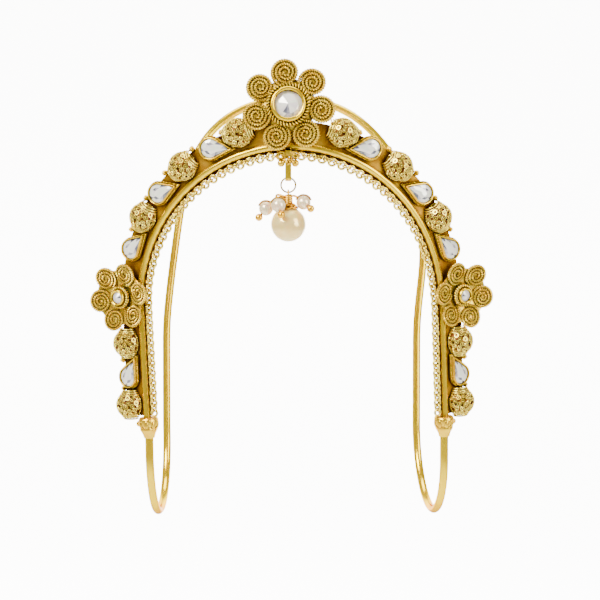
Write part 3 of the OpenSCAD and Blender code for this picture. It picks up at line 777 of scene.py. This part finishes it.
# Flowers: coiled rope petals on a back plate, round a bezel with a rope ring
topFlower = {"ring": 16.0, "petal": 6.76, "wire": 0.96, "petals": 7, "turns": 3.3, "first": 95.0,
        "bezel": 8.2, "bezelHeight": 3.6, "bezelWall": 0.6, "disc": 0.5, "discEdge": 0.12,
        "rope": 0.68, "ropeOut": 0.85, "ropeDrawn": 1.06, "ropeTwist": 0.68, "lift": 9.55,
        "tilt": 12.0, "setBack": 0.05, "crown": 1.5, "recess": 0.2, "twist": 0.85, "strand": 0.53,
        "bossRadius": 1.8, "bossHeight": 0.85, "bossInset": 1.8}
sideFlower = {"ring": 12.2, "petal": 5.8, "wire": 0.8, "petals": 6, "turns": 3.1, "first": 15.0,
        "bezel": 3.8, "bezelHeight": 2.9, "bezelWall": 0.35, "disc": 0.5, "rope": 0.6,
        "ropeOut": 0.8, "ropeHigh": 1.7, "springTurns": 26, "springWire": 0.24, "cup": 14.0,
        "share": 0.667, "set": 4.2, "facing": 8.0, "crown": 0.8, "recess": 0.1, "twist": 0.95,
        "strand": 0.46, "foot": 2.4}
petalLook = {"sink": 0.1, "step": 0.14, "waist": 0.42, "backThick": 0.11, "backDown": 0.12,
        "backInset": 0.55}
petalRise = cos(radians(36))
roundCut = {"foot": 0.3, "step": 0.68, "fan": -0.75}


def bezelMesh(look):
    outer, wall, high = look["bezel"] / 2, look["bezelWall"], look["bezelHeight"]
    inner, bulge, floor = outer - wall, wall * 0.28, look["disc"]
    return turned([(0, 0), (outer, 0), (outer, high * 0.6), (outer + bulge, high * 0.74),
            (outer + bulge, high * 0.86), (outer - 0.1 * wall, high * 0.97),
            (outer - wall / 2, high), (inner, high * 0.98), (inner - bulge, high * 0.93),
            (inner, high * 0.86), (inner, floor), (0, floor)], 64)


def roundStone(look):
    radius = look["bezel"] / 2 - look["bezelWall"] - play
    girdle = look["bezelHeight"] - look["recess"] - look["crown"]
    return cutStone([circle(radius * roundCut["foot"], 8, girdle - stoneCut["pavilion"]),
            circle(radius, 16, girdle), circle(radius, 16, girdle + stoneCut["girdle"]),
            circle(radius * roundCut["step"], 16, girdle + look["crown"] * 0.5, 0.5),
            [(0, 0, girdle + look["crown"])]], girdle, roundCut["fan"])


def petalMesh(look):
    petal = Piece("petal", "antique_gold")
    coil = coilPath(look["petal"], look["wire"], look["turns"], petalLook["step"])
    petal.add(sweep(coil, ropeWire(look["strand"], 10, petalLook["waist"]), twist=look["twist"]),
            turnZ(pi - fullTurn * look["turns"]))
    radius, half = look["petal"] / 2 - look["wire"] * petalLook["backInset"], petalLook["backThick"]
    petal.add(puck(radius, -half, half, 24), move(0, 0, -petalLook["backDown"]))  # closes its gaps
    return petal.gathered()


def addPetals(piece, petal, look, place, reach, lift=0.0, cup=0.0):
    high = look["disc"] - petalLook["sink"] + look["wire"] / 2 * petalRise + lift
    for k in range(look["petals"]):
        spin = radians(look["first"]) + fullTurn * k / look["petals"]
        piece.add(petal, place @ turnZ(spin) @ move(reach, 0, high) @ turnY(-cup))


def addBezel(name, look, place, flower, stone):
    Piece(name, "polished_gold", wireGold, node=flower).add(bezelMesh(look), place).finish()
    makeGem(stone, roundStone(look), place)


def springRing(radius, z, look):  # a wire wound closely round a ring
    minor, count = look["rope"] - look["springWire"], look["springTurns"] * 10
    loop = []
    for k in range(count):
        a, b = fullTurn * k / count, fullTurn * k * look["springTurns"] / count
        r = radius + minor * cos(b)
        loop.append((r * cos(a), r * sin(a), z + minor * sin(b)))
    return sweep(loop, circle(look["springWire"], 7), closed=True)


def makeTopFlower():
    look = topFlower
    frontY = apexY - plateFront
    place = (move(arch["crownX"], frontY + look["setBack"], arch["rise"] + look["lift"])
            @ turnX(radians(90 - look["tilt"])))
    piece = Piece("top_flower", "antique_gold", ropeGold)
    disc, edge, radius = look["disc"], look["discEdge"], look["ring"] / 2 - look["petal"] / 5
    piece.add(turned([(0, 0), (radius - edge, 0), (radius, edge), (radius, disc - edge),
            (radius - edge, disc), (0, disc)], 64), place)
    around = look["bezel"] / 2 + look["ropeOut"] * look["rope"]
    loop = circle(around, int(fullTurn * around / ropeStep), disc + look["wire"] + look["rope"])
    section = ropeWire(look["rope"] * look["ropeDrawn"], 12, petalLook["waist"])
    piece.add(sweep(loop, section, closed=True, twist=look["ropeTwist"]), place)
    addPetals(piece, petalMesh(look), look, place, look["ring"] / 2)
    piece.add(puck(look["bossRadius"], 0, look["bossHeight"], 24),
            move(arch["crownX"], frontY - arch["solder"],
            arch["rise"] + arch["bandWidth"] - look["bossInset"]) @ turnX(pi / 2))
    piece.finish()
    addBezel("top_bezel", look, place, "top_flower", "top_stone")


def makeSideFlowers():
    look, cup = sideFlower, radians(sideFlower["cup"])
    middle, disc = look["ring"] / 2, look["disc"]
    dish, hub = middle + look["petal"] / 8, middle - look["petal"] / 2 - 0.2
    rise = (dish - hub) * tan(cup)
    plate = turned([(0, 0), (hub, 0), (dish, rise), (dish, rise + disc), (hub, disc), (0, disc)],
            64)
    rope = springRing(look["bezel"] / 2 + look["ropeOut"] * look["rope"],
            disc + look["ropeHigh"] * look["rope"], look)
    petal, base = petalMesh(look), rimRadius + dome["rimGap"]
    foot = puck(look["foot"], 0, base - plateFront + disc / 2, 24)
    for word, side in leftRight.items():
        stand = bandPlace(side, look["share"], rimRadius + look["set"])
        place = stand @ move(0, 0, base) @ turnX(radians(look["facing"]))
        name = f"flower_{word}"
        piece = Piece(name, "antique_gold", ropeGold)
        for shape, spot in ((plate, place), (rope, place), (foot, stand @ move(0, 0, plateTop))):
            piece.add(shape, spot)
        addPetals(piece, petal, look, place, middle * cos(cup) + hub * (1 - cos(cup)),
                (middle - hub) * sin(cup), cup)
        piece.finish()
        addBezel(f"bezel_{word}", look, place, name, f"flower_stone_{word}")


# Scroll under the top of the arch, bail, jump ring, wire wrap and pearls
drop = {"strapTop": 0.3, "strapLow": 1.1, "strap": 1.4, "strapBevel": 0.12, "ballRadius": 0.9,
        "ballDrop": 0.75, "scrollThick": 0.65, "scrollRadius": 1.1, "sideScroll": 1.7,
        "scrollPitch": 0.5, "scrollTurns": 1.6, "scrollWire": 0.27, "bailHeight": 4.9,
        "bailWidth": 1.5, "bailThick": 0.32, "bailDepth": 1.7, "ring": 3.9, "ringWire": 0.42,
        "eyeWire": 0.44, "eyeHole": 0.5, "wrapLength": 2.3, "wrapRadius": 0.8, "wrapTurns": 5.0,
        "wrapWire": 0.3, "wrapNeck": 0.72, "pearl": 8.5, "smallPearl": 3.5, "peg": 0.35,
        "pegTop": 0.2, "pegShare": 0.05, "coilUp": 0.45, "coilOver": 0.25, "pinBend": 0.6,
        "pin": 0.28, "pinBall": 0.9, "pinStart": 0.3, "capThick": 0.35, "capShare": 1.02,
        "curl": 0.62, "curls": 8, "curlDown": 22, "curlLean": 25, "curlGap": 0.1, "arcWire": 0.2,
        "arcGap": 0.14, "arc": (0.3, 2.8), "knotBall": 0.42, "knotStep": 0.25,
        "knot": [(-0.85, 0.2), (0.85, 0.2), (-0.45, -0.25), (0.45, -0.25), (0, 0.35),
        (-1.15, -0.35), (1.15, -0.35), (0, -0.75)], "uneven": 0.012, "smallUneven": 0.03}
smallPearls = [(-127, 51.5, 0.05, (0.25, -0.6, -0.76)), (174, 35, 0.16, (-0.62, 0, -0.78)),
        (-7, 55.2, 0.12, (0.62, -0.62, -0.48))]  # turn, rise, share clear, way of the pin
pearlRadius, smallRadius = drop["pearl"] / 2, drop["smallPearl"] / 2
dropY = apexY - lace["link"] / 2 - 2 * play - drop["scrollThick"] / 2
scrollZ = arch["rise"] + laceOff - lace["link"] / 2 + drop["scrollRadius"]
bailTop = scrollZ - drop["scrollRadius"] - arch["solder"]
ringMajor = (drop["ring"] - drop["ringWire"]) / 2
ringFall = ringMajor - sqrt(ringMajor ** 2 - drop["bailWidth"] ** 2 / 4)
ringZ = (bailTop - drop["bailHeight"] + drop["bailThick"] + play + drop["ringWire"] / 2
        + ringFall - ringMajor)
eyeZ = ringZ - ringMajor - (drop["eyeHole"] - drop["ringWire"] / 2 - play)
eyeLow = eyeZ - drop["eyeHole"] - drop["eyeWire"]
pearlZ = eyeLow - drop["wrapLength"] - pearlRadius


def onDrop(z, x=0.0, y=0.0):
    return move(arch["crownX"] + x, dropY + y, z)


def makeScroll():
    piece = Piece("drop_scroll", "antique_gold", antiqueGold, node="front_band")
    top, low = (arch["rise"] - drop[end] * rimRadius for end in ("strapTop", "strapLow"))
    high, thick, bevel = top - scrollZ, drop["scrollThick"], drop["strapBevel"]
    reach = apexY - dropY + thick / 2
    piece.add(roundedBox(drop["strap"], thick, high, bevel), onDrop(scrollZ + high / 2))
    piece.add(roundedBox(drop["strap"], reach, top - low, bevel),
            onDrop((top + low) / 2, y=(reach - thick) / 2))
    spiral = coilPath(2 * drop["scrollRadius"], drop["scrollPitch"], drop["scrollTurns"], 0.1)
    curl, dot = sweep(spiral, circle(drop["scrollWire"], 8)), ball(drop["ballRadius"])
    ballZ = scrollZ - drop["scrollRadius"] - drop["ballDrop"] * drop["ballRadius"]
    for x in (-drop["sideScroll"], 0, drop["sideScroll"]):
        piece.add(curl, onDrop(scrollZ, x) @ turnX(pi / 2) @ stretch(-1 if x < 0 else 1, 1, 1))
        if x:
            piece.add(dot, onDrop(ballZ, x))
    knot = ball(drop["knotBall"], 2)
    for k, (x, z) in enumerate(drop["knot"]):
        piece.add(knot, onDrop(bailTop + z, x, drop["knotStep"] * (k % 2) - drop["bailDepth"] / 2))
    piece.finish()


def makeBail():
    r = (drop["bailDepth"] - drop["bailThick"]) / 2
    top, low = bailTop - drop["bailDepth"] / 2, bailTop - drop["bailHeight"] + drop["bailDepth"] / 2
    path = [(0, r * cos(a), z + r * sin(a)) for z, first in ((top, 0), (low, pi))
            for a in np.linspace(first, first + pi, 17)]
    half, thin = drop["bailWidth"] / 2, drop["bailThick"] / 2
    corner = [(half * 0.8, -thin), (half, -thin * 0.5), (half, thin * 0.5), (half * 0.8, thin)]
    section = [(x, y, 0) for x, y in corner] + [(-x, -y, 0) for x, y in corner]
    strip = sweep(path, section, closed=True)
    Piece("bail", "polished_gold", wireGold).add(strip, onDrop(0)).finish()


def smallAt(k):
    turn, rise, clear, _ = smallPearls[k]
    a, e = radians(turn), radians(rise)
    heading = Vector((cos(a) * cos(e), sin(a) * cos(e), sin(e)))
    reach = pearlRadius + drop["smallPearl"] * (0.5 + clear)
    return Vector((arch["crownX"], dropY, pearlZ)) + heading * reach


def pinPath(k, parts=14):
    way, spot = Vector(smallPearls[k][3]).normalized(), smallAt(k)
    back = spot - way * (smallRadius + drop["pinStart"])
    bend = back - way * drop["smallPearl"] * drop["pinBend"]
    stem = Vector((arch["crownX"], dropY, eyeLow - drop["peg"]))
    path = [stem * (1 - t) ** 2 + bend * 2 * t * (1 - t) + back * t * t
            for t in np.linspace(0, 1, parts)]
    return path + [spot, spot + way * (smallRadius + play + drop["pinBall"])]


def makeWrap():
    hoop = ring(ringMajor, drop["ringWire"] / 2, 64, 12)
    Piece("jump_ring", "polished_gold", hoopGold, body="ring").add(
            hoop, onDrop(ringZ) @ turnX(pi / 2)).finish()
    wrap = Piece("pearl_wrap", "bright_gold", amberGold, body="drop")
    wrap.add(ring(drop["eyeHole"] + drop["eyeWire"] / 2, drop["eyeWire"] / 2, 32, 10),
            onDrop(eyeZ) @ turnY(pi / 2))
    pegLow = pearlZ + drop["pearl"] * drop["pegShare"]
    wrap.add(puck(drop["peg"], 0, eyeLow + drop["pegTop"] - pegLow, 16), onDrop(pegLow))
    high, coil = eyeLow + drop["coilUp"], []
    fall = drop["wrapLength"] + drop["coilOver"] - drop["wrapWire"]
    for t in np.linspace(0, 1, 150):  # it starts at the eye's foot and widens downwards
        a = fullTurn * drop["wrapTurns"] * t
        r = drop["wrapRadius"] * (drop["wrapNeck"] + (1 - drop["wrapNeck"]) * min(1, 3 * t))
        coil.append((r * cos(a), r * sin(a), high - fall * t))
    wrap.add(sweep(coil, circle(drop["wrapWire"], 8)), onDrop(0))
    outer, inner = pearlRadius + drop["capThick"], pearlRadius + play
    edge = acos(pearlRadius * drop["capShare"] / outer)
    shell = [(r * sin(edge * t), r * cos(edge * t))
            for r, first, last in ((outer, 0, 1), (inner, 0.97, 0))
            for t in np.linspace(first, last, 10)]
    wrap.add(turned(shell, 32), onDrop(pearlZ))
    for k in range(3):
        path = pinPath(k)
        wrap.add(sweep(path, circle(drop["pin"], 8)))
        wrap.add(ball(drop["pinBall"]), move(*path[-1]))
    wrap.finish()


def makeCurls():
    curls = Piece("wrap_curls", "bright_gold", amberGold, body="drop")
    curl = ring(drop["curl"], drop["arcWire"] * 1.2, 20, 6)
    for k in range(drop["curls"]):
        curls.add(curl, onDrop(pearlZ) @ turnZ(fullTurn * k / drop["curls"])
                @ turnY(radians(drop["curlDown"]))
                @ move(0, 0, pearlRadius + drop["capThick"] + drop["curlGap"])
                @ turnY(radians(drop["curlLean"])))
    radius = smallRadius + drop["arcGap"]
    arc = [(radius * cos(a), 0, radius * sin(a)) for a in np.linspace(*drop["arc"], 18)]
    for k in range(3):
        curls.add(sweep(arc, circle(drop["arcWire"], 7)), move(*smallAt(k)))
    curls.finish()


def makePearl(name, slot, material, radius, place, unevenness):  # a pearl is never quite round
    bm = bmesh.new()
    bmesh.ops.create_icosphere(bm, subdivisions=5, radius=radius)
    phases = [random.uniform(0, 6.28) for _ in range(3)]
    for vert in bm.verts:
        wave = sum(sin(often * along + phase) for often, along, phase
                in zip((2.1, 2.6, 2.3), vert.co / radius, phases))
        vert.co *= 1 - unevenness * (0.5 + wave / 6)
    Piece(name, slot, material, body="drop").add(keepMesh(bm), place).finish()


def makePearls():
    makePearl("main_pearl", "champagne_pearl", champagnePearl, pearlRadius, onDrop(pearlZ),
            drop["uneven"])
    for k in range(3):
        makePearl(f"small_pearl_{k + 1}", "white_pearl", whitePearl, smallRadius,
                move(*smallAt(k)), drop["smallUneven"])


makeBand()
makeLace()
makeBackWire()
makeCaps()
makeFiligree()
makePears()
makeTopFlower()
makeSideFlowers()
makeScroll()
makeBail()
makeWrap()
makeCurls()
makePearls()


# Stage, light and camera, in metres
stage = {"glow": 10.0, "glowDeep": (1.0, 1.15), "glowHigh": (1.1, 0.2), "glowSide": (1.4, 0.16),
        "floorZ": -0.5, "back": 1.3, "wide": 18.0, "high": 2.2, "front": 9.0, "curve": 0.3}
lamps = {"key": ((-0.5, -0.55, 0.6), (0.45, 0.45), 20.0),  # place, size and power
        "fill": ((0.7, -0.5, 0.25), (0.35, 0.7), 8.8), "top": ((0.0, 0.15, 0.8), (0.7, 0.4), 8.8)}
light = {"lamp": (1.0, 0.95, 0.8), "sky": (1.0, 0.92, 0.72, 1), "skyStrength": 0.45}
view = {"aim": (0.0023, 0.0007, -0.001), "elevation": 8.0, "distance": 0.45, "lens": 103.92}


def makeStage():
    curve, deep = stage["curve"], stage["back"]
    profile = [(-stage["front"], stage["floorZ"])]
    profile += [(deep - curve + curve * sin(a), stage["floorZ"] + curve * (1 - cos(a)))
            for a in np.linspace(0, pi / 2, 13)]
    profile.append((deep, stage["high"]))
    bm = bmesh.new()
    left = [bm.verts.new((-stage["wide"] / 2, y, z)) for y, z in profile]
    edges = [bm.edges.new(pair) for pair in zip(left, left[1:])]
    pull(bm, bmesh.ops.extrude_edge_only(bm, edges=edges), (stage["wide"], 0, 0))
    for face in bm.faces:
        face.smooth = True
    mesh = bpy.data.meshes.new("sweep_backdrop")
    bm.to_mesh(mesh)
    bm.free()
    shader = Shader("backdrop_white")
    white = shader.blend(shader.noise(3.0), (0.98, 0.98, 0.98), (1.0, 1.0, 1.0))
    x, y, z = (shader.node("SeparateXYZ", {}, {"Vector": shader.coords}, axis)
            for axis in "XYZ")
    shone = (shader.ramp(y, *stage["glowDeep"]) * shader.ramp(z, *stage["glowHigh"])
            * shader.ramp(x * x, *stage["glowSide"]))
    lit = shader.blend(shone, (0, 0, 0), white)  # only the part behind the object shines
    mesh.materials.append(shader.set(Base_Color=white, Roughness=0.9, Emission_Color=lit,
            Emission_Strength=stage["glow"]))
    backdrop = bpy.data.objects.new("sweep_backdrop", mesh)
    bpy.context.scene.collection.objects.link(backdrop)


def makeLight():
    for name, (place, size, power) in lamps.items():
        area = bpy.data.lights.new(name, "AREA")
        area.shape, area.size, area.size_y = "RECTANGLE", *size
        area.energy, area.color = power, light["lamp"]
        lamp = bpy.data.objects.new(name, area)
        lamp.location = place
        lamp.rotation_euler = (-Vector(place)).to_track_quat("-Z", "Y").to_euler()
        bpy.context.scene.collection.objects.link(lamp)
    world = bpy.data.worlds.new("studio")
    world.use_nodes = True
    sky = world.node_tree.nodes["Background"].inputs
    sky["Color"].default_value, sky["Strength"].default_value = light["sky"], light["skyStrength"]
    bpy.context.scene.world = world


def makeCamera():
    camera = bpy.data.objects.new("camera", bpy.data.cameras.new("camera"))
    e = radians(view["elevation"])
    back = Vector((0, -cos(e), sin(e)))
    camera.location = Vector(view["aim"]) + back * view["distance"]
    camera.rotation_euler = (-back).to_track_quat("-Z", "Y").to_euler()
    camera.data.lens, camera.data.sensor_width = view["lens"], 36.0
    camera.data.clip_start, camera.data.clip_end = 0.01, 20.0
    bpy.context.scene.collection.objects.link(camera)
    bpy.context.scene.camera = camera


makeStage()
makeLight()
makeCamera()
print("set the stage, the light and the camera")
